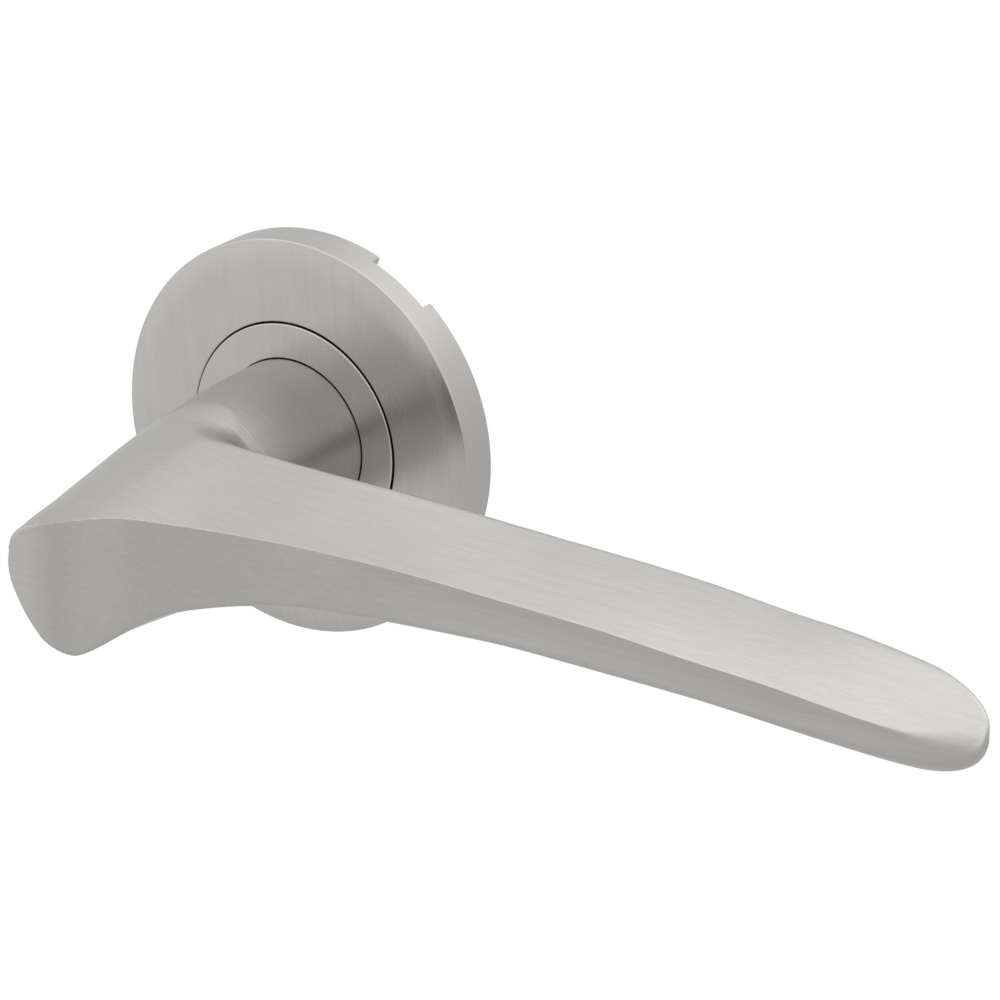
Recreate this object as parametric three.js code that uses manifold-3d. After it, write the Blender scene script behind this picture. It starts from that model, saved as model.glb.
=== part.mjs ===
// Door lever handle on a round sprung rose.
// Millimetres. The origin is the centre of the rose on the face of the door.
// +X runs along the lever, -Y points away from the door, +Z is up.

import * as THREE from "three";
import { mergeVertices } from "three/addons/utils/BufferGeometryUtils.js";
import Module from "manifold-3d";

// ---------------------------------------------------------------- driving dimensions
const GAP = 0.3; // clearance between neighbouring pieces

const ROSE_R = 27; // rose cover, outside radius
const ROSE_DEPTH = 6; // from the door face to the front of the cover
const COVER_SKIN = 1; // sheet thickness of the cover
const COVER_HOLE_R = 16; // opening for the swivel collar
const NOTCH_FROM = 49; // pry notch in the rear rim, degrees from +X towards +Z
const NOTCH_TO = 68.5;
const NOTCH_DEPTH = 1.8;

const COLLAR_R = 15.6;
const COLLAR_FRONT = -6.25;
const NECK_R = 11;

const PLATE_R = 25.6;
const PLATE_FRONT = -4.6;
const PLATE_WEB = 2.6; // thickness of the plate between hub and rim
const HUB_BORE_R = 13.9;
const FLANGE_SEAT_R = 15.2;
const FLANGE_SEAT_DEPTH = 1.8;

const FIXING_PITCH = 38; // between the two fixing screws
const FIXING_Z = FIXING_PITCH / 2;
const SCREW_R = 2;
const SCREW_HEAD_R = 3.75;
const SCREW_END = 10;
const LUG_R = 3.5;
const LUG_END = 7.2;

const HOUSING_R = 13.6;
const HOUSING_BORE_R = 12.6;
const HOUSING_FLOOR = 6; // front face of the housing floor
const HOUSING_END = 7;

const JOURNAL_R = 8;
const JOURNAL_FRONT = -26;
const JOURNAL_END = 13.2;
const BUSH_R = 9;
const SPINDLE_HALF = 4; // 8 mm square spindle
const SPINDLE_FRONT = -25.5;
const SPINDLE_END = 25;
const GRUB_Y = -15;
const GRUB_R = 2.5;

const SPRING_R = 10.6; // mean radius of the return spring
const WIRE_R = 0.8;
const SPRING_PITCH = 1.9;
const SPRING_TURNS = 1.5;
const SPRING_FRONT = -1.1; // first coil's wire centre

const DRIVER_FRONT = 3;
const DRIVER_BACK = 5.4;
const DRIVER_RING_R = 9.4;
const DRIVER_LUG_R = 12.1;
const PIN_CIRCLE_R = 11;
const PIN_R = 0.9;
const PIN_AT_REST = 297; // degrees from +X towards +Z
const PIN_AT_DOWN = 198;

// Lever bar. Every station is [x, value]; distances out from the door are positive.
const FRONT_EDGE = [[-6, 60.84], [-4, 60.71], [-2, 60.67], [0, 60.58], [2, 60.19], [4, 59.27], [7, 56.85], [9, 55.13], [11, 53.71], [13.5, 52.31], [15.3, 51.43], [18, 50.24], [22, 48.81], [26, 47.61], [30, 46.63], [36, 45.61], [43, 44.81], [50, 44.3], [57, 44.01], [80, 43.8], [93, 43.5], [103, 42.99], [108.24, 42.55]];
const TOP_BACK = [[-6, 11.2], [0, 11.06], [7, 10.62], [14, 10.08], [23, 9.64], [30, 9.48], [43.5, 9.07], [57, 8.49], [71, 7.95], [82, 7.22], [93, 6.25], [99, 6.15], [104, 6.06], [108.24, 5.86]];
const TOP_FRONT = [[-6, 5.02], [-4, 5.3], [0, 6.3], [3, 7.02], [7, 7.44], [11, 7.11], [14, 6.69], [18, 6.26], [23, 5.85], [30, 5.35], [43.5, 4.62], [57, 3.83], [71, 3.24], [82, 2.39], [93, 1.57], [99, 0.88], [104, 0.23], [108.24, -0.29]];
const CROWN = [[-6, -0.29], [24, -0.25], [45, -0.17], [50, -0.07], [55, 0.04], [65, 0.15], [75, 0.22], [82, 0.34], [88, 0.37], [92, 0.32], [96, 0.23], [100, 0.14], [104, 0.09], [108.24, 0.07]];
const UNDER_FRONT = [[-6, -6.1], [9, -5.99], [11, -5.79], [13.4, -5.35], [15.3, -4.92], [18, -4.32], [22.4, -3.52], [30, -2.75], [43.5, -2.65], [57, -2.39], [71, -2.61], [82, -2.89], [93, -3.62], [103, -4.47], [108.24, -4.9]];
const BACK = [[-6, 32.7], [82, 32.7], [93, 32.84], [103, 33.53], [108.24, 33.97]];
const TIP_FROM = 108.24;
const TIP_LENGTH = 10.75;
const TIP_CENTRE = [38.69, -0.73]; // distance from the door, height
// Neck sections: [distance out, centre x, half width, centre z, half height]
const NECK = [[4.9, 0, 11, 0, 11], [12, 0.05, 10.99, 0, 10.99], [18, 0.37, 10.93, 0, 10.95], [24, 0.96, 10.79, 0, 10.9], [31, 1.8, 10.59, 0.01, 10.86], [37, 2.53, 10.37, 0.04, 10.85], [40, 2.87, 10.21, 0.04, 10.84], [43, 3.11, 10, 0.03, 10.82], [46, 3.19, 9.69, 0.03, 10.8], [49, 3.22, 9.31, 0.03, 10.77], [52, 3.41, 8.95, 0.03, 10.74], [55, 3.93, 8.7, 0.05, 10.72], [58, 4.57, 8.6, 0.09, 10.73], [61, 4.99, 8.57, 0.12, 10.74], [66, 5.15, 8.57, 0.14, 10.75]];

// ---------------------------------------------------------------- solids
const wasm = await Module();
wasm.setup();

const rad = (deg) => (deg * Math.PI) / 180;

function solid(geometry) {
  const bare = geometry.index ? geometry.toNonIndexed() : geometry.clone();
  for (const name of Object.keys(bare.attributes)) if (name !== "position") bare.deleteAttribute(name);
  const merged = mergeVertices(bare, 1e-4);
  const make = (triVerts) =>
    new wasm.Manifold(new wasm.Mesh({ numProp: 3, vertProperties: new Float32Array(merged.attributes.position.array), triVerts }));
  const index = [];
  const source = merged.index.array;
  for (let i = 0; i < source.length; i += 3) {
    const [a, b, c] = [source[i], source[i + 1], source[i + 2]];
    if (a !== b && b !== c && c !== a) index.push(a, b, c);
  }
  const tri = new Uint32Array(index);
  const made = make(tri);
  if (made.volume() >= 0) return made;
  const turned = tri.slice();
  for (let i = 0; i < turned.length; i += 3) [turned[i + 1], turned[i + 2]] = [turned[i + 2], turned[i + 1]];
  return make(turned);
}

function geometryOf(manifold) {
  const mesh = manifold.getMesh();
  const count = mesh.vertProperties.length / mesh.numProp;
  const position = new Float32Array(count * 3);
  for (let i = 0; i < count; i++) for (let k = 0; k < 3; k++) position[i * 3 + k] = mesh.vertProperties[i * mesh.numProp + k];
  const geometry = new THREE.BufferGeometry();
  geometry.setAttribute("position", new THREE.BufferAttribute(position, 3));
  geometry.setIndex(new THREE.BufferAttribute(new Uint32Array(mesh.triVerts), 1));
  geometry.computeVertexNormals();
  return geometry;
}

// A closed profile of [radius, y] points turned about the Y axis.
function turned(profile, segments = 36) {
  const points = profile.map(([r, y]) => new THREE.Vector2(r, y));
  if (profile[0][0] > 0 || profile[profile.length - 1][0] > 0) points.push(points[0].clone());
  return solid(new THREE.LatheGeometry(points, segments));
}

// An outline of [x, z] points, or a THREE.Shape in x and z, between two y values.
function plate(outline, y0, y1, curveSegments = 12) {
  const shape = outline instanceof THREE.Shape ? outline : new THREE.Shape(outline.map(([x, z]) => new THREE.Vector2(x, z)));
  const geometry = new THREE.ExtrudeGeometry(shape, { depth: y1 - y0, bevelEnabled: false, curveSegments });
  geometry.rotateX(Math.PI / 2); // local depth runs towards -Y
  geometry.translate(0, y1, 0);
  return solid(geometry);
}

function box(x0, x1, y0, y1, z0, z1) {
  const geometry = new THREE.BoxGeometry(x1 - x0, y1 - y0, z1 - z0);
  geometry.translate((x0 + x1) / 2, (y0 + y1) / 2, (z0 + z1) / 2);
  return solid(geometry);
}

// A round bar along Y.
function rod(x, z, r, y0, y1, segments = 24) {
  const geometry = new THREE.CylinderGeometry(r, r, y1 - y0, segments);
  geometry.translate(x, (y0 + y1) / 2, z);
  return solid(geometry);
}

// A part of a ring between two angles, as an outline in x and z.
function sector(r0, r1, from, to, steps = 12) {
  const outline = [];
  for (let i = 0; i <= steps; i++) {
    const a = rad(from + ((to - from) * i) / steps);
    outline.push([r1 * Math.cos(a), r1 * Math.sin(a)]);
  }
  for (let i = steps; i >= 0; i--) {
    const a = rad(from + ((to - from) * i) / steps);
    outline.push([r0 * Math.cos(a), r0 * Math.sin(a)]);
  }
  return outline;
}

// A skin over a row of closed sections with equal point counts, with flat ends.
function loft(sections) {
  const rows = sections.length - 1;
  const count = sections[0].length;
  const geometry = new THREE.CylinderGeometry(1, 1, 1, count, rows, false);
  const position = geometry.attributes.position;
  const centre = (ring) => ring.reduce((s, p) => [s[0] + p[0] / count, s[1] + p[1] / count, s[2] + p[2] / count], [0, 0, 0]);
  for (let i = 0; i < position.count; i++) {
    const row = Math.round((0.5 - position.getY(i)) * rows);
    const x = position.getX(i);
    const z = position.getZ(i);
    if (Math.hypot(x, z) < 0.5) {
      position.setXYZ(i, ...centre(sections[row]));
    } else {
      const column = Math.round((Math.atan2(x, z) / (2 * Math.PI)) * count + count) % count;
      position.setXYZ(i, ...sections[row][column]);
    }
  }
  return solid(geometry);
}

// Value at x on a smooth curve through a row of stations.
function at(stations, x) {
  const n = stations.length;
  if (x <= stations[0][0]) return stations[0][1];
  if (x >= stations[n - 1][0]) return stations[n - 1][1];
  let i = 0;
  while (x > stations[i + 1][0]) i++;
  const slope = (a, b) => (stations[b][1] - stations[a][1]) / (stations[b][0] - stations[a][0]);
  const tangent = (k) => {
    if (k === 0) return slope(0, 1);
    if (k === n - 1) return slope(n - 2, n - 1);
    const before = slope(k - 1, k);
    const after = slope(k, k + 1);
    return before * after <= 0 ? 0 : (2 * before * after) / (before + after);
  };
  const h = stations[i + 1][0] - stations[i][0];
  const t = (x - stations[i][0]) / h;
  const t2 = t * t;
  const t3 = t2 * t;
  return (
    (2 * t3 - 3 * t2 + 1) * stations[i][1] +
    (t3 - 2 * t2 + t) * h * tangent(i) +
    (3 * t2 - 2 * t3) * stations[i + 1][1] +
    (t3 - t2) * h * tangent(i + 1)
  );
}

// Smooth step from 0 at a to 1 at b.
function ease(a, b, value) {
  const t = Math.min(1, Math.max(0, (value - a) / (b - a)));
  return t * t * (3 - 2 * t);
}

// Height of the lever's top surface at x and at a distance out from the door.
function topHeight(x, out) {
  const front = at(FRONT_EDGE, x);
  const fall = at(TOP_BACK, x) - at(TOP_FRONT, x);
  const t = (out - 33.3) / (front - 33.3);
  const crown = at(CROWN, x);
  const curve = t < 0 ? (1 - crown) * t : (1 - crown) * t + crown * t * t;
  return at(TOP_BACK, x) - fall * curve;
}

// ---------------------------------------------------------------- rose: fixed to the door
function roseCover() {
  const front = -ROSE_DEPTH;
  const inner = front + COVER_SKIN;
  const body = turned(
    [
      [COVER_HOLE_R, inner],
      [COVER_HOLE_R, front + 0.2],
      [COVER_HOLE_R + 0.2, front],
      [ROSE_R - 1, front],
      [ROSE_R - 0.55, front + 0.12],
      [ROSE_R - 0.15, front + 0.5],
      [ROSE_R, front + 1],
      [ROSE_R, 0],
      [ROSE_R - COVER_SKIN, 0],
      [ROSE_R - COVER_SKIN, inner],
    ],
    72,
  );
  const notch = plate(sector(ROSE_R - 2, ROSE_R + 1, NOTCH_FROM, NOTCH_TO, 4), -NOTCH_DEPTH, 0.5);
  return body.subtract(notch);
}

function mountingPlate() {
  const web = -PLATE_WEB;
  let body = turned(
    [
      [HUB_BORE_R, -FLANGE_SEAT_DEPTH],
      [HUB_BORE_R, PLATE_FRONT],
      [HUB_BORE_R + 1.5, PLATE_FRONT],
      [HUB_BORE_R + 1.5, web],
      [PLATE_R - 2.2, web],
      [PLATE_R - 2.2, PLATE_FRONT],
      [PLATE_R, PLATE_FRONT],
      [PLATE_R, web],
      [PLATE_R - 0.8, web],
      [PLATE_R - 0.8, -1.4],
      [PLATE_R, -1.4],
      [PLATE_R, 0],
      [FLANGE_SEAT_R, 0],
      [FLANGE_SEAT_R, -FLANGE_SEAT_DEPTH],
    ],
    48,
  );
  for (const angle of [-60, -30, 0, 30, 60, 120, 150, 180, 210, 240]) {
    const c = Math.cos(rad(angle));
    const s = Math.sin(rad(angle));
    const half = 0.6;
    const r0 = HUB_BORE_R + 0.8;
    const r1 = PLATE_R - 1.5;
    body = body.add(
      plate(
        [
          [r0 * c - half * s, r0 * s + half * c],
          [r0 * c + half * s, r0 * s - half * c],
          [r1 * c + half * s, r1 * s - half * c],
          [r1 * c - half * s, r1 * s + half * c],
        ],
        PLATE_FRONT + 0.4,
        web + 0.2,
      ),
    );
  }
  for (const z of [FIXING_Z, -FIXING_Z]) {
    body = body.add(rod(0, z, 4.9, PLATE_FRONT + 0.2, web + 0.5, 28));
    const sink = turned(
      [
        [0, PLATE_FRONT - 1],
        [SCREW_HEAD_R + 0.35, PLATE_FRONT - 1],
        [SCREW_HEAD_R + 0.35, PLATE_FRONT + 0.25],
        [SCREW_R + GAP, -2.55],
        [SCREW_R + GAP, 1],
        [0, 1],
      ],
      24,
    ).translate([0, 0, z]);
    body = body.subtract(sink).subtract(rod(0, z, 3.2, -FLANGE_SEAT_DEPTH, 1, 24));
  }
  for (const side of [1, -1]) {
    body = body.subtract(side > 0 ? box(14.5, 17.9, -FLANGE_SEAT_DEPTH, 1, -2.3, 2.3) : box(-17.9, -14.5, -FLANGE_SEAT_DEPTH, 1, -2.3, 2.3));
  }
  return body;
}

function coverSnapRing() {
  return plate(sector(24.95, 25.7, 231, 231 + 350, 48), -2.35, -1.65);
}

function pinAt(angle) {
  return [PIN_CIRCLE_R * Math.cos(rad(angle)), PIN_CIRCLE_R * Math.sin(rad(angle))];
}

function springHousing() {
  let body = turned([
    [HOUSING_BORE_R, -2],
    [HOUSING_R, -2],
    [HOUSING_R, -1.5],
    [FLANGE_SEAT_R - GAP, -1.5],
    [FLANGE_SEAT_R - GAP, -0.3],
    [HOUSING_R, -0.3],
    [HOUSING_R, HOUSING_END],
    [BUSH_R + GAP, HOUSING_END],
    [BUSH_R + GAP, HOUSING_FLOOR],
    [HOUSING_BORE_R, HOUSING_FLOOR],
  ]);
  body = body.add(box(14.2, 17.6, -1.5, -0.3, -2, 2)).add(box(-17.6, -14.2, -1.5, -0.3, -2, 2));
  for (const angle of [PIN_AT_REST, PIN_AT_DOWN]) {
    const [x, z] = pinAt(angle);
    body = body.subtract(rod(x, z, PIN_R + GAP, HOUSING_FLOOR - 1, HOUSING_END + 1, 16));
  }
  return body.subtract(box(-1.15, 1.15, -3, 0.1, -13.8, -12)); // seat of the spring's fixed leg
}

function housingLid() {
  return turned([
    [BUSH_R + GAP, -3.3],
    [13.3, -3.3],
    [13.3, -2.3],
    [BUSH_R + GAP, -2.3],
  ]);
}

function frontBush() {
  return turned([
    [JOURNAL_R + GAP, -4.6],
    [12.6, -4.6],
    [12.6, -3.6],
    [BUSH_R, -3.6],
    [BUSH_R, -1.6],
    [JOURNAL_R + GAP, -1.6],
  ]);
}

function rearBush() {
  return turned([
    [JOURNAL_R + GAP, 8.3],
    [12, 8.3],
    [12, 7.3],
    [BUSH_R, 7.3],
    [BUSH_R, 5.8],
    [JOURNAL_R + GAP, 5.8],
  ]);
}

function stopPin(angle) {
  const [x, z] = pinAt(angle);
  return rod(x, z, PIN_R, 2.9, HOUSING_END - 0.1, 16);
}

function fixingScrew(z) {
  const front = PLATE_FRONT + 0.05;
  const body = turned(
    [
      [0, front],
      [SCREW_HEAD_R, front],
      [SCREW_HEAD_R, front + 0.2],
      [SCREW_R, -2.5],
      [SCREW_R, SCREW_END - 0.5],
      [SCREW_R - 0.5, SCREW_END],
      [0, SCREW_END],
    ],
    18,
  ).translate([0, 0, z]);
  return body.subtract(box(-0.45, 0.45, front - 1, front + 1.3, z - 2, z + 2)).subtract(box(-2, 2, front - 1, front + 1.3, z - 0.45, z + 0.45));
}

function fixingLug(z) {
  return turned(
    [
      [SCREW_R + GAP, -1.5],
      [2.9, -1.5],
      [2.9, 0.3],
      [LUG_R, 0.3],
      [LUG_R, LUG_END - 0.5],
      [LUG_R - 0.5, LUG_END],
      [SCREW_R + GAP, LUG_END],
    ],
    18,
  ).translate([0, 0, z]);
}

// One and a half turns of wire: a fixed leg that points outwards and a leg along the axis that the driver pushes.
function returnSpring() {
  const points = [];
  points.push(new THREE.Vector3(0, SPRING_FRONT, -13.2));
  points.push(new THREE.Vector3(-0.05, SPRING_FRONT, -12.3));
  const steps = 36;
  for (let i = 0; i <= steps; i++) {
    const share = i / steps;
    const angle = rad(262 - 532 * share); // clockwise from the bottom to the top, with one full turn more
    const y = SPRING_FRONT + SPRING_PITCH * SPRING_TURNS * share;
    const lead = i === 0 ? 0.35 : 0;
    points.push(new THREE.Vector3((SPRING_R + lead) * Math.cos(angle), y, (SPRING_R + lead) * Math.sin(angle)));
  }
  const last = points[points.length - 1];
  points.push(new THREE.Vector3(last.x + 0.5, last.y + 1.1, last.z));
  points.push(new THREE.Vector3(0, DRIVER_FRONT + 0.4, SPRING_R));
  points.push(new THREE.Vector3(0, DRIVER_BACK - 0.2, SPRING_R));
  const path = new THREE.CatmullRomCurve3(points, false, "centripetal");
  const section = new THREE.Shape();
  const sides = 10;
  for (let i = 0; i < sides; i++) {
    const a = (i / sides) * 2 * Math.PI;
    if (i === 0) section.moveTo(WIRE_R * Math.cos(a), WIRE_R * Math.sin(a));
    else section.lineTo(WIRE_R * Math.cos(a), WIRE_R * Math.sin(a));
  }
  section.closePath();
  return solid(new THREE.ExtrudeGeometry(section, { extrudePath: path, steps: 120, bevelEnabled: false }));
}

// ---------------------------------------------------------------- lever: turns on the rose
function leverHandle() {
  // Neck: oval sections standing out from the door.
  const around = 40;
  const neck = loft(
    NECK.map(([out, cx, hx, cz, hz]) => {
      const ring = [];
      for (let i = 0; i < around; i++) {
        const a = (i / around) * 2 * Math.PI;
        const c = Math.cos(a);
        const s = Math.sin(a);
        // The underside narrows to a keel at the elbow.
        const power = 2 - 0.466 * ease(38, 57, out) * ease(3, -4, hz * s);
        const r = (Math.abs(c) ** power + Math.abs(s) ** power) ** (-1 / power);
        ring.push([cx + hx * r * c, -out, cz + hz * r * s]);
      }
      return ring;
    }),
  );

  // Everything above the top surface near the elbow.
  const above = loft(
    [-14, -6, 0, 7, 14, 22].map((x) => {
      const ring = [];
      for (let i = 0; i <= 10; i++) {
        const out = 22 + 4.6 * i;
        ring.push([x, -out, topHeight(Math.max(x, -6), out)]);
      }
      ring.push([x, -68, 24], [x, -22, 24]);
      return ring;
    }),
  );

  // Everything in front of the curved face of the elbow.
  const face = [];
  for (let i = 0; i <= 22; i++) {
    const x = -15 + (43.5 * i) / 22;
    face.push([x, at(FRONT_EDGE, x)]);
  }
  const ahead = new THREE.Shape([...face.map(([x, out]) => new THREE.Vector2(x, -out)), new THREE.Vector2(28.5, -80), new THREE.Vector2(-15, -80)]);
  const aheadGeometry = new THREE.ExtrudeGeometry(ahead, { depth: 60, bevelEnabled: false });
  aheadGeometry.translate(0, 0, -30);

  // Bar: crowned top, front crease, upright front band and a soft back.
  const stations = [4, 8, 12, 16, 20, 24, 28, 33, 38, 44, 50, 57, 64, 72, 80, 88, 96, 103, TIP_FROM];
  const sectionAt = (x) => {
    const back = at(BACK, x);
    const front = at(FRONT_EDGE, x);
    const spare = x < 24 ? 0.8 : x < 28 ? 0.8 * (1 - (x - 24) / 4) : 0;
    const lean = x < 29 ? 0 : 1.1 * ease(29, 46, x) * (1 - 0.35 * ease(100, 110, x));
    const sink = x < 15 ? 0.05 : 0;
    const under = at(UNDER_FRONT, x);
    const crease = topHeight(x, front) - sink;
    const high = topHeight(x, back + 1.1) - sink;
    const ring = [];
    const top = 9;
    for (let i = 0; i <= top; i++) {
      const out = back + 1.1 + ((front + spare - back - 1.1) * i) / top;
      ring.push([out, topHeight(x, Math.min(out, front)) - sink]);
    }
    const drop = crease - under;
    for (const s of [0.25, 0.5, 0.75]) ring.push([front + spare - lean * s * (1.5 - 0.5 * s), crease - drop * s]);
    ring.push([front + spare - lean - 0.35, under + 0.35]);
    ring.push([front + spare - lean - 1.3, under - 0.05]);
    const deep = front - back;
    for (const s of [0.35, 0.6]) ring.push([front - deep * s, under - 0.8 * 4 * s * (1 - s)]);
    ring.push([back + 2.6, under - 0.45], [back + 0.8, under + 0.55], [back - 0.05, under + 2.6]);
    ring.push([back - 0.25, (under + high) / 2], [back, high - 1.2], [back + 0.33, high - 0.32]);
    return ring.map(([out, z]) => [x, -out, z]);
  };
  const rings = stations.map(sectionAt);
  const end = sectionAt(TIP_FROM);
  for (const t of [0.2, 0.38, 0.54, 0.68, 0.79, 0.88, 0.94, 0.975, 0.995]) {
    const s = (1 - t ** 2.56) ** (1 / 2.61);
    rings.push(end.map(([, y, z]) => [TIP_FROM + TIP_LENGTH * t, -TIP_CENTRE[0] + (y + TIP_CENTRE[0]) * s, TIP_CENTRE[1] + (z - TIP_CENTRE[1]) * s]));
  }
  const bar = loft(rings);

  const bore = rod(0, 0, JOURNAL_R + GAP, JOURNAL_FRONT - GAP, 0, 40);
  const grub = grubBore();
  return neck.subtract(above).add(bar).subtract(solid(aheadGeometry)).subtract(bore).subtract(grub);
}

// The hole for the grub screw, from below.
function grubBore() {
  const geometry = new THREE.CylinderGeometry(GRUB_R + GAP, GRUB_R + GAP, 12, 20);
  geometry.rotateX(Math.PI / 2);
  geometry.translate(0, GRUB_Y, -9);
  return solid(geometry);
}

function leverJournal() {
  const body = turned(
    [
      [0, JOURNAL_FRONT],
      [JOURNAL_R - 0.5, JOURNAL_FRONT],
      [JOURNAL_R, JOURNAL_FRONT + 0.5],
      [JOURNAL_R, 10.7],
      [JOURNAL_R - 0.9, 10.7],
      [JOURNAL_R - 0.9, 12.1],
      [JOURNAL_R, 12.1],
      [JOURNAL_R, JOURNAL_END - 0.4],
      [JOURNAL_R - 0.4, JOURNAL_END],
      [0, JOURNAL_END],
    ],
    40,
  );
  const square = SPINDLE_HALF + GAP;
  const key = 1.4;
  return body
    .subtract(box(-square, square, JOURNAL_FRONT - 1, JOURNAL_END + 1, -square, square))
    .subtract(box(-JOURNAL_R - 1, -6.8, 1.2, JOURNAL_END + 1, -key, key))
    .subtract(grubBore());
}

function swivelCollar() {
  return turned(
    [
      [NECK_R + 0.35, -4.95],
      [NECK_R + 0.35, COLLAR_FRONT],
      [COLLAR_R - 0.25, COLLAR_FRONT],
      [COLLAR_R, COLLAR_FRONT + 0.25],
      [COLLAR_R, -4.95],
    ],
    48,
  );
}

function springDriver() {
  let body = turned([
    [JOURNAL_R + GAP, DRIVER_FRONT],
    [DRIVER_RING_R, DRIVER_FRONT],
    [DRIVER_RING_R, DRIVER_BACK],
    [JOURNAL_R + GAP, DRIVER_BACK],
  ]);
  body = body.add(plate(sector(9, DRIVER_LUG_R, 250, 290, 8), DRIVER_FRONT, DRIVER_BACK));
  body = body.add(plate(sector(9, DRIVER_LUG_R, 70, 110, 8), DRIVER_FRONT, DRIVER_BACK));
  body = body.subtract(box(-1.1, 1.1, DRIVER_FRONT - 1, DRIVER_BACK + 1, 9.5, 14));
  return body.add(box(-9, -7.1, DRIVER_FRONT, DRIVER_BACK, -1.1, 1.1));
}

function thrustWasher() {
  return turned([
    [JOURNAL_R + 0.4, 8.6],
    [11.5, 8.6],
    [11.5, 9.1],
    [JOURNAL_R + 0.4, 9.1],
  ]);
}

function waveWasher() {
  const points = [
    [JOURNAL_R + 0.5, 9.8],
    [11.3, 9.8],
    [11.3, 10.1],
    [JOURNAL_R + 0.5, 10.1],
    [JOURNAL_R + 0.5, 9.8],
  ].map(([r, y]) => new THREE.Vector2(r, y));
  const geometry = new THREE.LatheGeometry(points, 48);
  const position = geometry.attributes.position;
  for (let i = 0; i < position.count; i++) {
    const angle = Math.atan2(position.getZ(i), position.getX(i));
    position.setY(i, position.getY(i) + 0.25 * Math.cos(3 * angle));
  }
  return solid(geometry);
}

function retainingRing() {
  let body = plate(sector(JOURNAL_R - 0.6, 9.7, 288, 288 + 324, 30), 10.9, 11.9);
  for (const angle of [286, 254]) {
    const x = 9.3 * Math.cos(rad(angle));
    const z = 9.3 * Math.sin(rad(angle));
    body = body.add(rod(x, z, 1.4, 10.9, 11.9, 18)).subtract(rod(x, z, 0.6, 10, 13, 12));
  }
  return body;
}

function spindle() {
  const h = SPINDLE_HALF;
  const c = 0.6;
  return loft(
    [
      [SPINDLE_FRONT, h - c],
      [SPINDLE_FRONT + c, h],
      [SPINDLE_END - c, h],
      [SPINDLE_END, h - c],
    ].map(([y, s]) => [
      [s, y, s - 0.25],
      [s - 0.25, y, s],
      [-s + 0.25, y, s],
      [-s, y, s - 0.25],
      [-s, y, -s + 0.25],
      [-s + 0.25, y, -s],
      [s - 0.25, y, -s],
      [s, y, -s + 0.25],
    ]),
  );
}

function spindleGrubScrew() {
  const top = -(SPINDLE_HALF + GAP);
  const bottom = -10.4;
  const body = new THREE.LatheGeometry(
    [
      [0, bottom],
      [GRUB_R - 0.3, bottom],
      [GRUB_R, bottom + 0.3],
      [GRUB_R, top - 0.8],
      [GRUB_R - 0.9, top],
      [0, top],
    ].map(([r, y]) => new THREE.Vector2(r, y)),
    24,
  );
  const socket = new THREE.CylinderGeometry(1.45, 1.45, 5, 6);
  socket.translate(0, bottom, 0);
  const made = solid(body).subtract(solid(socket));
  return made.rotate([90, 0, 0]).translate([0, GRUB_Y, 0]);
}

// ---------------------------------------------------------------- assembly
const finishes = {
  satin_steel: { color: 0xb9b7b1, roughness: 0.34, metalness: 1 },
  plated_steel: { color: 0xa9abae, roughness: 0.4, metalness: 1 },
  zinc_steel: { color: 0xc4c2b4, roughness: 0.35, metalness: 1 },
  spring_steel: { color: 0x8c8c8c, roughness: 0.3, metalness: 1 },
  nylon: { color: 0xd9d6cc, roughness: 0.55, metalness: 0 },
  black_nylon: { color: 0x242424, roughness: 0.5, metalness: 0 },
};

const handle = new THREE.Group();
const roseGroup = new THREE.Group();
const leverGroup = new THREE.Group();
handle.add(roseGroup, leverGroup);

function put(group, name, manifold, finish) {
  const mesh = new THREE.Mesh(geometryOf(manifold), new THREE.MeshStandardMaterial(finishes[finish]));
  mesh.name = name;
  group.add(mesh);
}

put(roseGroup, "rose_cover", roseCover(), "satin_steel");
put(roseGroup, "mounting_plate", mountingPlate(), "black_nylon");
put(roseGroup, "cover_snap_ring", coverSnapRing(), "spring_steel");
put(roseGroup, "spring_housing", springHousing(), "plated_steel");
put(roseGroup, "housing_lid", housingLid(), "plated_steel");
put(roseGroup, "front_bush", frontBush(), "nylon");
put(roseGroup, "rear_bush", rearBush(), "nylon");
put(roseGroup, "return_spring", returnSpring(), "spring_steel");
put(roseGroup, "stop_pin_rest", stopPin(PIN_AT_REST), "spring_steel");
put(roseGroup, "stop_pin_down", stopPin(PIN_AT_DOWN), "spring_steel");
put(roseGroup, "fixing_screw_upper", fixingScrew(FIXING_Z), "zinc_steel");
put(roseGroup, "fixing_screw_lower", fixingScrew(-FIXING_Z), "zinc_steel");
put(roseGroup, "fixing_lug_upper", fixingLug(FIXING_Z), "zinc_steel");
put(roseGroup, "fixing_lug_lower", fixingLug(-FIXING_Z), "zinc_steel");

put(leverGroup, "lever_handle", leverHandle(), "satin_steel");
put(leverGroup, "lever_journal", leverJournal(), "plated_steel");
put(leverGroup, "swivel_collar", swivelCollar(), "satin_steel");
put(leverGroup, "spring_driver", springDriver(), "plated_steel");
put(leverGroup, "thrust_washer", thrustWasher(), "plated_steel");
put(leverGroup, "wave_washer", waveWasher(), "spring_steel");
put(leverGroup, "retaining_ring", retainingRing(), "spring_steel");
put(leverGroup, "spindle", spindle(), "zinc_steel");
put(leverGroup, "spindle_grub_screw", spindleGrubScrew(), "spring_steel");

export default handle;
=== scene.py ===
"""Door lever handle on a round sprung rose: the look of each piece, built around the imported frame.

Shapes are worked out in millimetres and stored in metres. "out" is the distance from the door, so y = -out.
"""

import math

import bmesh
import bpy
import numpy as np
from mathutils import Matrix, Vector


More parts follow.
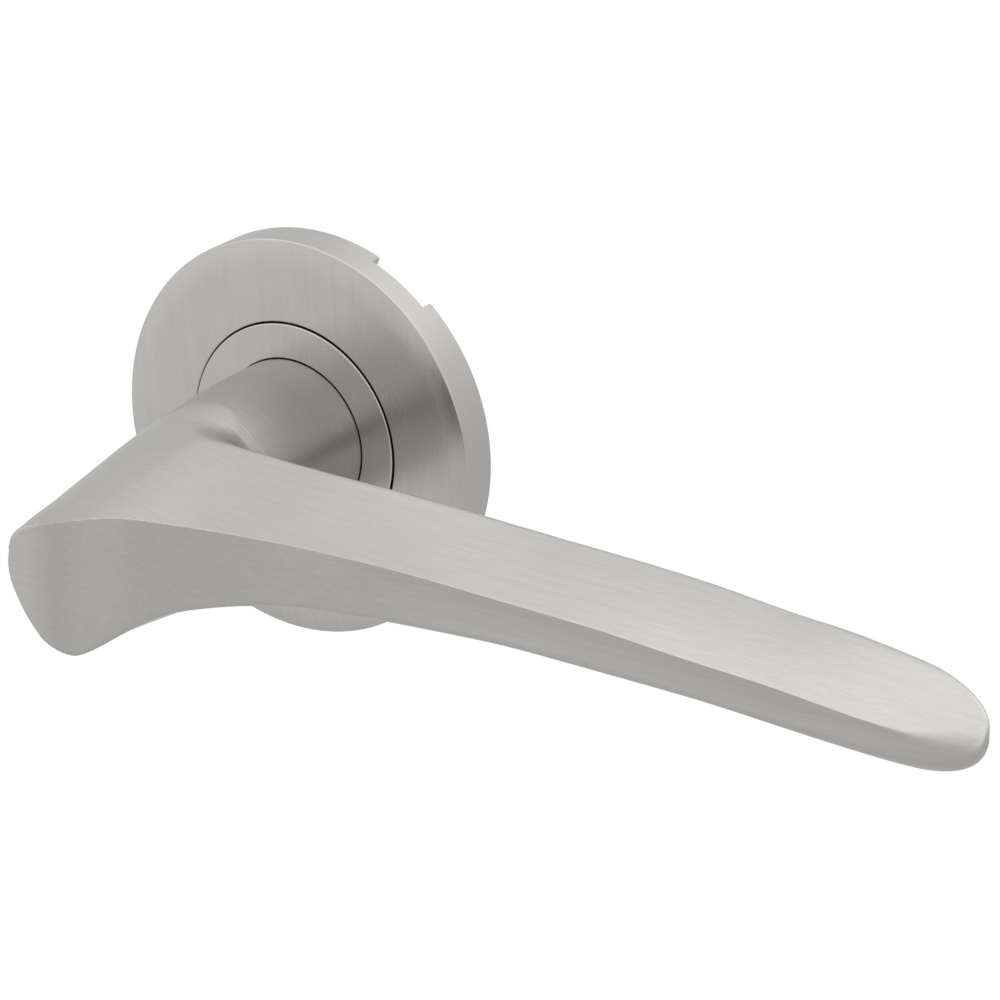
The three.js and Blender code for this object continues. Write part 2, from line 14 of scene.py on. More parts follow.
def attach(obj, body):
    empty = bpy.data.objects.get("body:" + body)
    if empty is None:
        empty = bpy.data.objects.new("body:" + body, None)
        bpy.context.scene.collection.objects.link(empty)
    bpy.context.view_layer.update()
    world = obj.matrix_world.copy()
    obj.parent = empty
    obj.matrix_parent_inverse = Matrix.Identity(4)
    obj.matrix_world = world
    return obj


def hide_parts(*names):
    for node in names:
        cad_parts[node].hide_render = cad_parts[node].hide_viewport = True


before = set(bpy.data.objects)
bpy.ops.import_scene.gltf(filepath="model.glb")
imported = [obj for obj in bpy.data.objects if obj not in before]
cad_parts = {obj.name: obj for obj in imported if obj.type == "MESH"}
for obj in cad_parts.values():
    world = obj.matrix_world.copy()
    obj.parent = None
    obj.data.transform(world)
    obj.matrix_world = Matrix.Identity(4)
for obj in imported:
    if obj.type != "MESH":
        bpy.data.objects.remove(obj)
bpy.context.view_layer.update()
scene = bpy.context.scene
MM = 0.001


# ------------------------------------------------------------------ camera
camera_data = bpy.data.cameras.new("camera")
camera_data.lens = 163.85
camera_data.sensor_width = 36.0
camera_data.clip_start = 0.01
camera_data.clip_end = 50.0
camera = bpy.data.objects.new("camera", camera_data)
scene.collection.objects.link(camera)
camera.matrix_world = Matrix(
    (
        (0.83617, -0.20382, 0.50922, 0.327376),
        (0.54848, 0.31073, -0.77629, -0.455838),
        (0.0, 0.92839, 0.37161, 0.213773),
        (0.0, 0.0, 0.0, 1.0),
    )
)
scene.camera = camera


# ------------------------------------------------------------------ mesh helpers
def make_object(name, vertices, faces, normals=None, corner_normals=None, sharp=None):
    """A mesh object from vertices in millimetres. Normals may be given for each vertex or each face corner."""
    mesh = bpy.data.meshes.new(name)
    mesh.from_pydata((np.asarray(vertices, float) * MM).tolist(), [], [list(map(int, f)) for f in faces])
    mesh.validate(clean_customdata=False)
    mesh.shade_smooth()
    if corner_normals is not None:
        mesh.normals_split_custom_set(corner_normals.tolist())
    elif normals is not None:
        mesh.normals_split_custom_set_from_vertices(normals.tolist())
    elif sharp is not None:
        mesh.set_sharp_from_angle(angle=math.radians(sharp))
    obj = bpy.data.objects.new(name, mesh)
    scene.collection.objects.link(obj)
    return obj


def fillet(profile, radii, steps=5):
    """A closed profile of (radius, y) points with each corner rounded by its own radius, and a short flat run beside each arc."""
    points = []
    count = len(profile)
    for i, (p, radius) in enumerate(zip(profile, radii)):
        p = np.array(p, float)
        a = np.array(profile[i - 1], float) - p
        b = np.array(profile[(i + 1) % count], float) - p
        la, lb = np.linalg.norm(a), np.linalg.norm(b)
        a, b = a / la, b / lb
        angle = math.acos(max(-1.0, min(1.0, float(a @ b))))
        if radius <= 0 or angle > math.radians(172):
            points.append(tuple(p))
            continue
        run = min(radius / math.tan(angle / 2), la * 0.45, lb * 0.45)
        radius = run * math.tan(angle / 2)
        middle = p + (a + b) / np.linalg.norm(a + b) * (radius / math.sin(angle / 2))
        start, end = p + a * run, p + b * run
        guard_a, guard_b = min(0.15 * la, 0.06), min(0.15 * lb, 0.06)
        if run + guard_a < la * 0.49:
            points.append(tuple(start + a * guard_a))
        s = math.atan2(*(start - middle)[::-1])
        e = math.atan2(*(end - middle)[::-1])
        turn = (e - s + math.pi) % (2 * math.pi) - math.pi
        for k in range(steps + 1):
            t = s + turn * k / steps
            points.append(tuple(middle + radius * np.array([math.cos(t), math.sin(t)])))
        if run + guard_b < lb * 0.49:
            points.append(tuple(end + b * guard_b))
    return points


def turn(profile, angles=None, count=192, centre=(0.0, 0.0), skip=None):
    """Vertices and faces of a closed (radius, y) profile turned about an axis along Y."""
    if angles is None:
        angles = np.arange(count) * 2 * math.pi / count
    rows, columns = len(profile), len(angles)
    vertices = []
    for t in angles:
        c, s = math.cos(t), math.sin(t)
        for r, y in profile:
            vertices.append((centre[0] + r * c, y, centre[1] + r * s))
    faces = []
    for j in range(columns):
        k = (j + 1) % columns
        for i in range(rows):
            n = (i + 1) % rows
            if skip is not None and skip(i, n, j):
                continue
            faces.append((j * rows + i, k * rows + i, k * rows + n, j * rows + n))
    return vertices, faces


def outward(obj):
    """Turns every face outwards and joins vertices that lie on each other."""
    mesh = obj.data
    b = bmesh.new()
    b.from_mesh(mesh)
    bmesh.ops.remove_doubles(b, verts=b.verts, dist=1e-7)
    loose = [f for f in b.faces if f.calc_area() < 1e-14]
    if loose:
        bmesh.ops.dissolve_degenerate(b, dist=1e-7, edges=b.edges)
    bmesh.ops.recalc_face_normals(b, faces=b.faces)
    b.to_mesh(mesh)
    b.free()
    mesh.update()
    return obj


def turned_object(name, profile, radii, count=192, centre=(0.0, 0.0), steps=5, sharp=32):
    points = fillet(profile, radii if hasattr(radii, "__len__") else [radii] * len(profile), steps)
    vertices, faces = turn(points, count=count, centre=centre)
    obj = make_object(name, vertices, faces)
    outward(obj)
    obj.data.shade_smooth()
    obj.data.set_sharp_from_angle(angle=math.radians(sharp))
    return obj


def prism(name, outline, y0, y1):
    """A straight block from an outline of (x, z) points between two y values."""
    n = len(outline)
    vertices = [(x, y0, z) for x, z in outline] + [(x, y1, z) for x, z in outline]
    faces = [tuple(range(n))[::-1], tuple(range(n, 2 * n))]
    for i in range(n):
        k = (i + 1) % n
        faces.append((i, k, n + k, n + i))
    return outward(make_object(name, vertices, faces))


def block(name, x0, x1, y0, y1, z0, z1):
    return prism(name, [(x0, z0), (x1, z0), (x1, z1), (x0, z1)], y0, y1)


def sector(r0, r1, start, end, steps):
    a = np.radians(np.linspace(start, end, steps + 1))
    outer = [(r1 * math.cos(t), r1 * math.sin(t)) for t in a]
    inner = [(r0 * math.cos(t), r0 * math.sin(t)) for t in a[::-1]]
    return outer + inner


def rod(name, x, z, r, y0, y1, count=48, axis="y"):
    a = np.arange(count) * 2 * math.pi / count
    if axis == "y":
        return prism(name, [(x + r * math.cos(t), z + r * math.sin(t)) for t in a], y0, y1)
    n = count
    vertices = [(x + r * math.cos(t), z + r * math.sin(t), y0) for t in a] + [(x + r * math.cos(t), z + r * math.sin(t), y1) for t in a]
    faces = [tuple(range(n))[::-1], tuple(range(n, 2 * n))]
    for i in range(n):
        k = (i + 1) % n
        faces.append((i, k, n + k, n + i))
    return outward(make_object(name, vertices, faces))


def combine(obj, others, operation):
    """Adds or cuts with other objects, then removes them."""
    for other in others:
        modifier = obj.modifiers.new("combine", "BOOLEAN")
        modifier.operation = operation
        modifier.solver = "MANIFOLD"
        modifier.object = other
    bake(obj)
    for other in others:
        bpy.data.objects.remove(other)
    return obj


def bake(obj):
    """Puts the result of an object's modifiers into its mesh."""
    graph = bpy.context.evaluated_depsgraph_get()
    result = bpy.data.meshes.new_from_object(obj.evaluated_get(graph))
    obj.modifiers.clear()
    old = obj.data
    obj.data = result
    bpy.data.meshes.remove(old)
    return obj


def soften(obj, width=0.12, segments=2, angle=32):
    """Small rounded edges, as a tumbled or moulded piece has, with even shading on its flats."""
    b = bmesh.new()
    b.from_mesh(obj.data)
    bmesh.ops.remove_doubles(b, verts=b.verts, dist=2e-6)
    bmesh.ops.dissolve_limit(b, angle_limit=math.radians(0.6), verts=b.verts, edges=b.edges)
    b.to_mesh(obj.data)
    b.free()
    bevel = obj.modifiers.new("bevel", "BEVEL")
    bevel.width = width * MM
    bevel.segments = segments
    bevel.limit_method = "ANGLE"
    bevel.angle_limit = math.radians(angle)
    bevel.use_clamp_overlap = True
    bevel.harden_normals = False
    bevel.miter_outer = "MITER_ARC"
    bake(obj)
    obj.data.shade_smooth()
    obj.data.set_sharp_from_angle(angle=math.radians(38))
    weighted = obj.modifiers.new("weighted", "WEIGHTED_NORMAL")
    weighted.keep_sharp = True
    weighted.weight = 60
    bake(obj)
    return obj


def place(obj, material, body, node):
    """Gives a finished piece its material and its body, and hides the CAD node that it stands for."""
    obj.data.materials.clear()
    obj.data.materials.append(material)
    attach(obj, body)
    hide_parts(node)
    return obj


# ------------------------------------------------------------------ materials
class Nodes:
    """Short calls for making a material's nodes."""

    def __init__(self, name):
        self.material = bpy.data.materials.new(name)
        self.material.use_nodes = True
        self.tree = self.material.node_tree
        self.tree.nodes.clear()
        self.output = self.tree.nodes.new("ShaderNodeOutputMaterial")
        self.coordinates = self.tree.nodes.new("ShaderNodeTexCoord").outputs["Object"]
        split = self.tree.nodes.new("ShaderNodeSeparateXYZ")
        self.tree.links.new(self.coordinates, split.inputs[0])
        self.x, self.y, self.z = split.outputs

    def link(self, value, socket):
        if hasattr(value, "is_output"):
            self.tree.links.new(value, socket)
        else:
            socket.default_value = value

    def math(self, operation, a, b=0.0, c=0.0, clamp=False):
        node = self.tree.nodes.new("ShaderNodeMath")
        node.operation = operation
        node.use_clamp = clamp
        for value, socket in zip((a, b, c), node.inputs):
            self.link(value, socket)
        return node.outputs[0]

    def vector(self, x, y, z):
        node = self.tree.nodes.new("ShaderNodeCombineXYZ")
        for value, socket in zip((x, y, z), node.inputs):
            self.link(value, socket)
        return node.outputs[0]

    def scaled(self, sx, sy, sz):
        """Object coordinates times a scale for each axis."""
        return self.vector(self.math("MULTIPLY", self.x, sx), self.math("MULTIPLY", self.y, sy), self.math("MULTIPLY", self.z, sz))

    def noise(self, vector, scale=1.0, detail=2.0, roughness=0.5):
        node = self.tree.nodes.new("ShaderNodeTexNoise")
        self.link(vector, node.inputs["Vector"])
        node.inputs["Scale"].default_value = scale
        node.inputs["Detail"].default_value = detail
        node.inputs["Roughness"].default_value = roughness
        return node.outputs["Fac"]

    def span(self, value, from_low, from_high, to_low, to_high):
        node = self.tree.nodes.new("ShaderNodeMapRange")
        node.clamp = True
        for v, k in ((value, 0), (from_low, 1), (from_high, 2), (to_low, 3), (to_high, 4)):
            self.link(v, node.inputs[k])
        return node.outputs[0]

    def mix(self, factor, a, b):
        """a + (b - a) * factor for numbers."""
        node = self.tree.nodes.new("ShaderNodeMix")
        node.data_type = "FLOAT"
        self.link(factor, node.inputs[0])
        self.link(a, node.inputs[2])
        self.link(b, node.inputs[3])
        return node.outputs[0]

    def mix_vector(self, factor, a, b):
        node = self.tree.nodes.new("ShaderNodeMix")
        node.data_type = "VECTOR"
        self.link(factor, node.inputs[0])
        self.link(a, node.inputs[4])
        self.link(b, node.inputs[5])
        return node.outputs[1]

    def colour(self, factor, low, high):
        node = self.tree.nodes.new("ShaderNodeMix")
        node.data_type = "RGBA"
        self.link(factor, node.inputs[0])
        node.inputs[6].default_value = (*low, 1.0)
        node.inputs[7].default_value = (*high, 1.0)
        return node.outputs[2]

    def bump(self, height, distance, strength=1.0):
        node = self.tree.nodes.new("ShaderNodeBump")
        self.link(height, node.inputs["Height"])
        node.inputs["Distance"].default_value = distance
        node.inputs["Strength"].default_value = strength
        return node.outputs["Normal"]

    def surface(self, colour, roughness, normal=None, metallic=1.0, anisotropic=0.0, tangent=None, **uniform):
        shader = self.tree.nodes.new("ShaderNodeBsdfPrincipled")
        self.link(colour, shader.inputs["Base Color"])
        self.link(roughness, shader.inputs["Roughness"])
        shader.inputs["Metallic"].default_value = metallic
        shader.inputs["Anisotropic"].default_value = anisotropic
        if normal is not None:
            self.link(normal, shader.inputs["Normal"])
        if tangent is not None:
            self.link(tangent, shader.inputs["Tangent"])
        for key, value in uniform.items():
            shader.inputs[key].default_value = value
        self.tree.links.new(shader.outputs[0], self.output.inputs[0])
        return self.material


def around(n):
    """Angle about the rose's axis, in radians, and distance from it in metres."""
    angle = n.math("ARCTAN2", n.z, n.x)
    radius = n.math("SQRT", n.math("ADD", n.math("MULTIPLY", n.x, n.x), n.math("MULTIPLY", n.z, n.z)))
    return angle, radius


def brushed_lever():
    """Satin stainless: brushed along the bar and around the neck."""
    n = Nodes("brushed_lever")
    angle, radius = around(n)
    # share of the surface that is brushed around the neck: near the rose, away from the bar
    neck = n.span(n.y, -0.0335, -0.0305, 0.0, 1.0)
    along_fine = n.noise(n.scaled(55, 5200, 5200), detail=3.0, roughness=0.6)
    along_wide = n.noise(n.scaled(22, 1500, 1500), detail=2.0, roughness=0.5)
    ring = n.vector(n.math("MULTIPLY", angle, 1.6), n.math("MULTIPLY", n.math("ADD", n.y, n.math("MULTIPLY", n.x, 0.12)), 5200), n.math("MULTIPLY", radius, 60))
    ring_wide = n.vector(n.math("MULTIPLY", angle, 0.9), n.math("MULTIPLY", n.math("ADD", n.y, n.math("MULTIPLY", n.x, 0.12)), 1400), n.math("MULTIPLY", radius, 30))
    around_fine = n.noise(ring, detail=3.0, roughness=0.6)
    around_wide = n.noise(ring_wide, detail=2.0, roughness=0.5)
    fine = n.mix(neck, along_fine, around_fine)
    wide = n.mix(neck, along_wide, around_wide)
    cloud = n.noise(n.scaled(70, 70, 70), detail=2.0, roughness=0.5)
    shade = n.math("ADD", n.math("MULTIPLY", fine, 0.45), n.math("ADD", n.math("MULTIPLY", wide, 0.3), n.math("MULTIPLY", cloud, 0.25)))
    colour = n.colour(n.span(shade, 0.3, 0.7, 0.0, 1.0), LEVER_DARK, LEVER_LIGHT)
    roughness = n.span(shade, 0.3, 0.7, LEVER_ROUGH + 0.03, LEVER_ROUGH - 0.03)
    height = n.math("ADD", n.math("MULTIPLY", fine, 0.7), n.math("MULTIPLY", wide, 0.6))
    height = n.math("MULTIPLY", height, n.math("ADD", n.math("MULTIPLY", neck, 2.6), 1.0))
    return n.surface(colour, roughness, n.bump(height, 0.000009, 1.0))


def satin_face(name, slope=0.0, swirl=0.0):
    """Satin stainless brushed in straight strokes across the face, and around the rim's side."""
    n = Nodes(name)
    angle, radius = around(n)
    side = n.span(radius, 0.0259, 0.0265, 0.0, 1.0)
    u = n.math("ADD", n.x, n.math("MULTIPLY", n.z, slope))
    fine = n.noise(n.vector(n.math("MULTIPLY", u, 4200), n.math("MULTIPLY", n.y, 900), n.math("MULTIPLY", n.z, 60)), detail=3.0, roughness=0.6)
    wide = n.noise(n.vector(n.math("MULTIPLY", u, 900), n.math("MULTIPLY", n.y, 200), n.math("MULTIPLY", n.z, 25)), detail=2.0, roughness=0.5)
    rim_fine = n.noise(n.vector(n.math("MULTIPLY", angle, 2.0), n.math("MULTIPLY", n.y, 5200), 0.0), detail=3.0, roughness=0.6)
    cloud = n.noise(n.scaled(90, 90, 90), detail=3.0, roughness=0.55)
    stroke = n.mix(side, n.math("ADD", n.math("MULTIPLY", fine, 0.6), n.math("MULTIPLY", wide, 0.4)), rim_fine)
    shade = n.math("ADD", n.math("MULTIPLY", stroke, 0.55), n.math("MULTIPLY", cloud, 0.45))
    colour = n.colour(n.span(shade, 0.3, 0.7, 0.0, 1.0), ROSE_DARK, ROSE_LIGHT)
    roughness = n.span(shade, 0.3, 0.7, ROSE_ROUGH + 0.03, ROSE_ROUGH - 0.03)
    return n.surface(colour, roughness, n.bump(stroke, 0.000008, 1.0))


def worked_steel(name, low, high, rough, along=(900, 60, 900), grain=0.00001, turned_marks=False):
    """Plated, zinc or spring steel: a fine tool grain with a soft mottle."""
    n = Nodes(name)
    if turned_marks:
        angle, radius = around(n)
        grain_value = n.noise(n.vector(n.math("MULTIPLY", angle, 1.2), n.math("MULTIPLY", n.y, 4000), n.math("MULTIPLY", radius, 4000)), detail=2.0)
    else:
        grain_value = n.noise(n.scaled(*along), detail=3.0)
    mottle = n.noise(n.scaled(420, 420, 420), detail=4.0, roughness=0.6)
    shade = n.math("ADD", n.math("MULTIPLY", grain_value, 0.5), n.math("MULTIPLY", mottle, 0.5))
    colour = n.colour(n.span(shade, 0.3, 0.7, 0.0, 1.0), low, high)
    roughness = n.span(mottle, 0.3, 0.7, rough - 0.05, rough + 0.07)
    return n.surface(colour, roughness, n.bump(shade, grain, 1.0))


def moulded(name, low, high, rough, sss=0.0):
    """Moulded nylon: fine spark texture, small tone changes and a soft gloss."""
    n = Nodes(name)
    spark = n.noise(n.scaled(4200, 4200, 4200), detail=2.0)
    flow = n.noise(n.scaled(140, 140, 140), detail=3.0)
    colour = n.colour(n.span(flow, 0.3, 0.7, 0.0, 1.0), low, high)
    roughness = n.span(flow, 0.3, 0.7, rough - 0.06, rough + 0.06)
    return n.surface(colour, roughness, n.bump(spark, 0.00002, 1.0), metallic=0.0)


LEVER_DARK, LEVER_LIGHT, LEVER_ROUGH = (0.475, 0.47, 0.457), (0.54, 0.535, 0.52), 0.25
ROSE_DARK, ROSE_LIGHT, ROSE_ROUGH = (0.47, 0.463, 0.447), (0.54, 0.532, 0.515), 0.27

LEVER_METAL = brushed_lever()
ROSE_METAL = satin_face("satin_rose", slope=0.08)
COLLAR_METAL = satin_face("satin_collar", slope=-0.05)
PLATED = worked_steel("plated_steel", (0.42, 0.425, 0.43), (0.56, 0.565, 0.57), 0.36, turned_marks=True)
ZINC = worked_steel("zinc_steel", (0.50, 0.49, 0.45), (0.66, 0.65, 0.60), 0.34)
SPRING = worked_steel("spring_steel", (0.24, 0.24, 0.25), (0.36, 0.36, 0.37), 0.3, along=(1500, 1500, 1500))
BLACK_NYLON = moulded("black_nylon", (0.012, 0.012, 0.013), (0.022, 0.022, 0.023), 0.46)
BUSH_NYLON = moulded("bush_nylon", (0.70, 0.68, 0.62), (0.78, 0.76, 0.71), 0.42)


# ------------------------------------------------------------------ rose cover
def rose_cover():
    """Thin cap with a rolled front edge, a small step where face meets rim, and the pry notch."""
    hole, outside, depth, skin = 15.92, 27.0, 6.0, 1.0
    notch_from, notch_to, notch_depth = math.radians(49), math.radians(68.5), 1.8
    points = []
    # the face falls away gently in its last few millimetres
    dome = [(r, -depth + 0.34 * ((r - 23.2) / 3.3) ** 2) for r in np.linspace(23.2, 26.5, 12)]
    rounded = fillet(
        [(hole, -depth + skin), (hole, -depth), *dome, (outside, dome[-1][1] + 0.09), (outside, 0.0), (outside - skin, 0.0), (outside - skin, -depth + skin)],
        [0.1, 0.2, *[0] * len(dome), 0.45, 0.08, 0.08, 0.5], 8,
    )
    # rows of the profile at the notch's depth, on the outer and the inner wall
    for i, p in enumerate(rounded):
        q = rounded[(i + 1) % len(rounded)]
        points.append(p)
        if (p[1] + notch_depth) * (q[1] + notch_depth) < 0:
            t = (-notch_depth - p[1]) / (q[1] - p[1])
            points.append((p[0] + (q[0] - p[0]) * t, -notch_depth))
    count = 240
    angles = sorted(set([round(i * 2 * math.pi / count, 9) for i in range(count)]) | {notch_from, notch_to})
    angles = [a for a in angles if a in (notch_from, notch_to) or (abs(a - notch_from) > 0.008 and abs(a - notch_to) > 0.008)]
    inside = [notch_from - 1e-6 <= a and angles[(j + 1) % len(angles)] <= notch_to + 1e-6 and a < notch_to - 1e-6 for j, a in enumerate(angles)]
    low = [p[1] > -notch_depth + 1e-6 for p in points]
    at_depth = [abs(p[1] + notch_depth) <= 1e-6 for p in points]

    def skip(i, n, j):
        return inside[j] and (low[i] or low[n])

    vertices, faces = turn(points, angles=angles, skip=skip)
    rows = len(points)
    edge_rows = [i for i in range(rows) if at_depth[i]]
    outer = max(edge_rows, key=lambda i: points[i][0])
    inner = min(edge_rows, key=lambda i: points[i][0])
    for j, flag in enumerate(inside):
        if flag:
            k = (j + 1) % len(angles)
            faces.append((j * rows + outer, k * rows + outer, k * rows + inner, j * rows + inner))
    for a in (notch_from, notch_to):
        j = angles.index(a)
        loop = []
        i = outer
        while True:
            loop.append(j * rows + i)
            if i == inner:
                break
            i = (i + 1) % rows
        faces.append(tuple(loop))
    obj = make_object("rose_cover_cap", vertices, faces)
    outward(obj)
    obj.data.shade_smooth()
    obj.data.set_sharp_from_angle(angle=math.radians(32))
    return obj


def swivel_collar():
    return turned_object(
        "swivel_collar_disc",
        [(11.12, -4.95), (11.12, -6.25), (15.74, -6.25), (15.74, -4.95)],
        [0.06, 0.08, 0.18, 0.1],
        count=240,
        steps=6,
    )


place(rose_cover(), ROSE_METAL, "rose", "rose_cover")
place(swivel_collar(), COLLAR_METAL, "lever", "swivel_collar")

# ------------------------------------------------------------------ pieces behind the rose
def polar(r, degrees):
    return r * math.cos(math.radians(degrees)), r * math.sin(math.radians(degrees))


def mounting_plate():
    """Moulded plate: hub, rim with a groove for the snap ring, ribs, and two bosses for the screws."""
    body = turned_object(
        "mounting_plate_body",
        [(13.9, -1.8), (13.9, -4.6), (15.4, -4.6), (15.4, -2.6), (23.4, -2.6), (23.4, -4.6), (25.6, -4.6), (25.6, -2.6),
         (24.8, -2.6), (24.8, -1.4), (25.6, -1.4), (25.6, 0.0), (15.2, 0.0), (15.2, -1.8)],
        0, count=144,
    )
    added = []
    for angle in (-60, -30, 0, 30, 60, 120, 150, 180, 210, 240):
        c, s = polar(1.0, angle)
        added.append(prism("rib", [(r * c - h * s, r * s + h * c) for r, h in ((14.7, 0.6), (14.7, -0.6), (24.1, -0.6), (24.1, 0.6))], -4.2, -2.4))
    for z in (19.0, -19.0):
        added.append(rod("boss", 0.0, z, 4.9, -4.4, -2.1, count=56))
    combine(body, added, "UNION")
    cuts = []
    for z in (19.0, -19.0):
        cuts.append(turned_object("sink", [(0, -5.6), (4.1, -5.6), (4.1, -4.35), (2.3, -2.55), (2.3, 1.0), (0, 1.0)], 0, count=48, centre=(0.0, z)))
        cuts.append(rod("clear", 0.0, z, 3.2, -1.8, 1.0, count=48))
    for x in (14.5, -17.9):
        cuts.append(block("recess", x, x + 3.4, -1.8, 1.0, -2.3, 2.3))
    combine(body, cuts, "DIFFERENCE")
    return soften(body, 0.14, 2)


def spring_housing():
    """Drawn steel cup: flange and two tabs in front, floor behind, with holes for the stop pins."""
    body = turned_object(
        "spring_housing_cup",
        [(12.6, -2.0), (13.6, -2.0), (13.6, -1.5), (14.9, -1.5), (14.9, -0.3), (13.6, -0.3), (13.6, 7.0), (9.3, 7.0), (9.3, 6.0), (12.6, 6.0)],
        [0.1, 0.1, 0, 0.1, 0.1, 0.12, 0.45, 0.1, 0.1, 0.4], count=144, steps=4,
    )
    combine(body, [block("tab", 14.2, 17.6, -1.5, -0.3, -2, 2), block("tab", -17.6, -14.2, -1.5, -0.3, -2, 2)], "UNION")
    cuts = [rod("pin_hole", *polar(11.0, angle), 1.2, 5.0, 8.0, count=32) for angle in (297, 198)]
    cuts.append(block("leg_seat", -1.15, 1.15, -3.0, 0.1, -13.8, -12.0))
    combine(body, cuts, "DIFFERENCE")
    return soften(body, 0.08, 2)


def fixing_screw(name, z):
    """Countersunk M4 screw with a cross recess and a rolled thread."""
    pitch, height = 0.7, 0.34
    rows = [(0.0, -4.55), (3.6, -4.55), (3.72, -4.5), (3.75, -4.4), (3.68, -4.3), (2.0, -2.5)]
    y = -1.9
    while y < 9.35:
        rows.append((2.0, y))
        y += pitch / 8
    rows += [(2.0, 9.5), (1.5, 10.0), (0.0, 10.0)]
    columns = 40
    vertices, faces = turn(rows, count=columns, centre=(0.0, z))
    for j in range(columns):
        for i, (r, y) in enumerate(rows):
            if r == 2.0 and -2.0 < y < 9.4:
                phase = (y / pitch - j / columns) % 1.0
                depth = min(1.0, max(0.0, abs(phase - 0.5) * 3.2 - 0.35))
                depth *= min(1.0, (y + 1.9) / 0.8)
                share = 1.0 - height * depth / 2.0
                x0, y0, z0 = vertices[j * len(rows) + i]
                vertices[j * len(rows) + i] = (x0 * share, y0, z + (z0 - z) * share)
    body = outward(make_object(name, vertices, faces))
    combine(body, [block("slot", -0.45, 0.45, -5.5, -3.25, z - 2, z + 2), block("slot", -2, 2, -5.5, -3.25, z - 0.45, z + 0.45)], "DIFFERENCE")
    body.data.shade_smooth()
    body.data.set_sharp_from_angle(angle=math.radians(30))
    return body


def lever_journal():
    """Turned sleeve with a square hole, a keyway, a groove for the ring and a hole for the grub screw."""
    body = turned_object(
        "lever_journal_sleeve",
        [(0, -26.0), (7.5, -26.0), (8.0, -25.5), (8.0, 10.7), (7.1, 10.7), (7.1, 12.1), (8.0, 12.1), (8.0, 12.8), (7.6, 13.2), (0, 13.2)],
        0, count=120,
    )
    combine(body, [
        block("square", -4.3, 4.3, -27, 14.2, -4.3, 4.3),
        block("key", -9.0, -6.8, 1.2, 14.2, -1.4, 1.4),
        rod("grub", 0.0, -15.0, 2.8, -15.0, -3.0, count=48, axis="z"),
    ], "DIFFERENCE")
    return soften(body, 0.1, 2)


def spring_driver():
    """Ring with two lugs, a notch for the spring's leg and a tooth in the journal's keyway."""
    body = turned_object("spring_driver_ring", [(8.3, 3.0), (9.4, 3.0), (9.4, 5.4), (8.3, 5.4)], 0, count=120)
    combine(body, [prism("lug", sector(9.0, 12.1, 250, 290, 20), 3.0, 5.4), prism("lug", sector(9.0, 12.1, 70, 110, 20), 3.0, 5.4)], "UNION")
    combine(body, [block("notch", -1.1, 1.1, 2.0, 6.4, 9.5, 14.0)], "DIFFERENCE")
    combine(body, [block("tooth", -9.0, -7.1, 3.0, 5.4, -1.1, 1.1)], "UNION")
    return soften(body, 0.12, 2)


def wave_washer():
    """Spring washer with three waves."""
    points = fillet([(8.5, 9.8), (11.3, 9.8), (11.3, 10.1), (8.5, 10.1)], [0.06] * 4, 3)
    vertices, faces = turn(points, count=180)
    vertices = [(x, y + 0.25 * math.cos(3 * math.atan2(z, x)), z) for x, y, z in vertices]
    obj = outward(make_object("wave_washer_disc", vertices, faces))
    obj.data.shade_smooth()
    obj.data.set_sharp_from_angle(angle=math.radians(40))
    return obj


def retaining_ring():
    """Open ring with two eyelets for the pliers."""
    body = prism("retaining_ring_body", sector(7.4, 9.7, 288, 612, 110), 10.9, 11.9)
    ends = [polar(9.3, 286), polar(9.3, 254)]
    combine(body, [rod("eye", x, z, 1.4, 10.9, 11.9, count=36) for x, z in ends], "UNION")
    combine(body, [rod("hole", x, z, 0.6, 10.0, 13.0, count=24) for x, z in ends], "DIFFERENCE")
    return soften(body, 0.07, 2)


def spindle():
    """Square bar with broken corners and chamfered ends."""
    vertices, rings = [], [(-25.5, 3.4), (-24.9, 4.0), (24.4, 4.0), (25.0, 3.4)]
    for y, s in rings:
        k = s - 0.25
        vertices += [(s, y, k), (k, y, s), (-k, y, s), (-s, y, k), (-s, y, -k), (-k, y, -s), (k, y, -s), (s, y, -k)]
    faces = [tuple(range(8)), tuple(range(24, 32))]
    faces += [(8 * j + i, 8 * j + (i + 1) % 8, 8 * j + 8 + (i + 1) % 8, 8 * j + 8 + i) for j in range(3) for i in range(8)]
    return soften(outward(make_object("spindle_bar", vertices, faces)), 0.08, 2, angle=20)


def spindle_grub_screw():
    """Hexagon socket grub screw that stands up from below the neck."""
    body = turned_object("spindle_grub_screw_body", [(0, -10.4), (2.2, -10.4), (2.5, -10.1), (2.5, -5.1), (1.6, -4.3), (0, -4.3)], 0, count=56)
    combine(body, [prism("socket", [polar(1.45, 30 + 60 * i) for i in range(6)], -12.9, -7.9)], "DIFFERENCE")
    soften(body, 0.07, 2)
    for v in body.data.vertices:
        v.co = (v.co.x, -v.co.z - 15.0 * MM, v.co.y)
    body.data.update()
    return body


def washer(name, inner, outer, y0, y1, radius=0.1, centre=(0.0, 0.0)):
    return turned_object(name, [(inner, y0), (outer, y0), (outer, y1), (inner, y1)], radius, count=144, centre=centre, steps=4)


def fixing_lug(name, z):
    return turned_object(name, [(2.3, -1.5), (2.9, -1.5), (2.9, 0.3), (3.5, 0.3), (3.5, 6.7), (3.0, 7.2), (2.3, 7.2)], [0.08, 0.1, 0.1, 0.08, 0.3, 0.15, 0.08], count=72, centre=(0.0, z), steps=3)


def stop_pin(name, angle):
    return turned_object(name, [(0, 2.9), (0.9, 2.9), (0.9, 6.9), (0, 6.9)], [0, 0.2, 0.12, 0], count=40, centre=polar(11.0, angle), steps=3)


